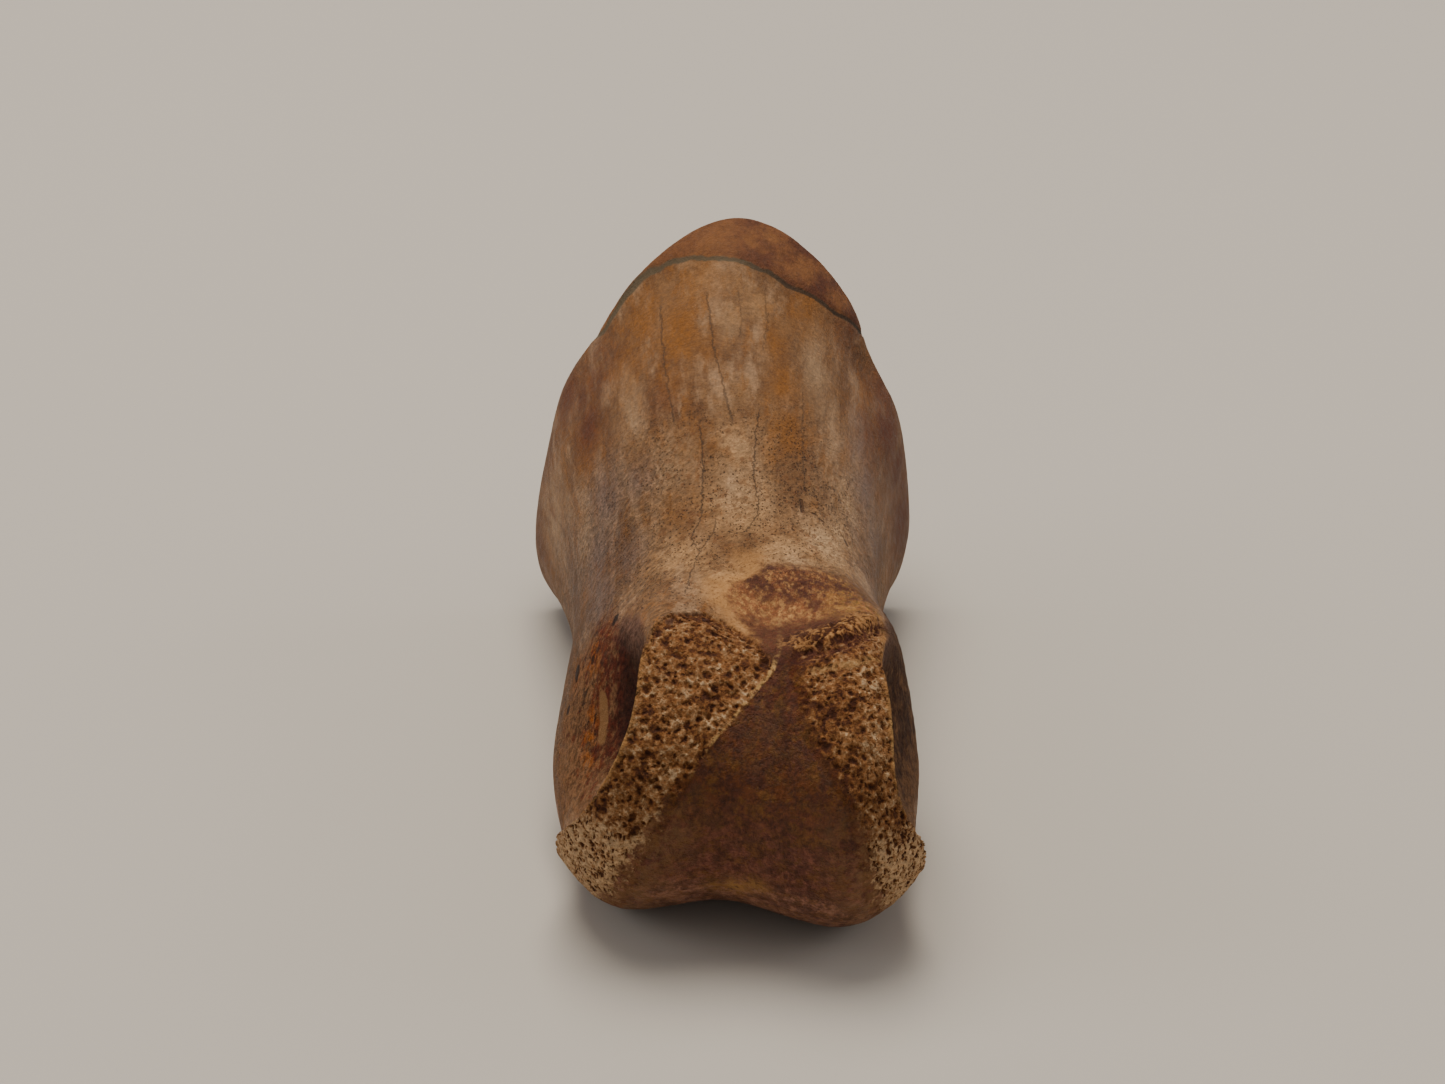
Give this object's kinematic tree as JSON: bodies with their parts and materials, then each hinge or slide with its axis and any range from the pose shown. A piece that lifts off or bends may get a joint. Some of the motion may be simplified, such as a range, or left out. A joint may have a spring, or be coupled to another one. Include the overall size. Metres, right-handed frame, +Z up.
{
  "type": "fossil toe bone",
  "caption": "Fossil theropod toe bone lying on its sole: waisted shaft, grooved hinge joint with deep side pits at one end, flared shallow socket with a glued break at the other.",
  "frame": {"origin": "bottom centre of the bone's bounding box, on the surface that the sole rests on", "axes": "+Y runs along the bone from the grooved distal joint to the hollowed proximal joint, +Z points up out of the dorsal side, +X to the right as seen from the distal end"},
  "size_m": [0.0224, 0.0458, 0.0232],
  "materials": {
    "fossil_bone": "matt mineralised bone, tan to dark brown, with rough open spongy bone where the joint is worn and a faint sheen on the smooth parts"
  },
  "bodies": {
    "root": {"toe_bone": "fossil_bone"}
  },
  "joints": []
}
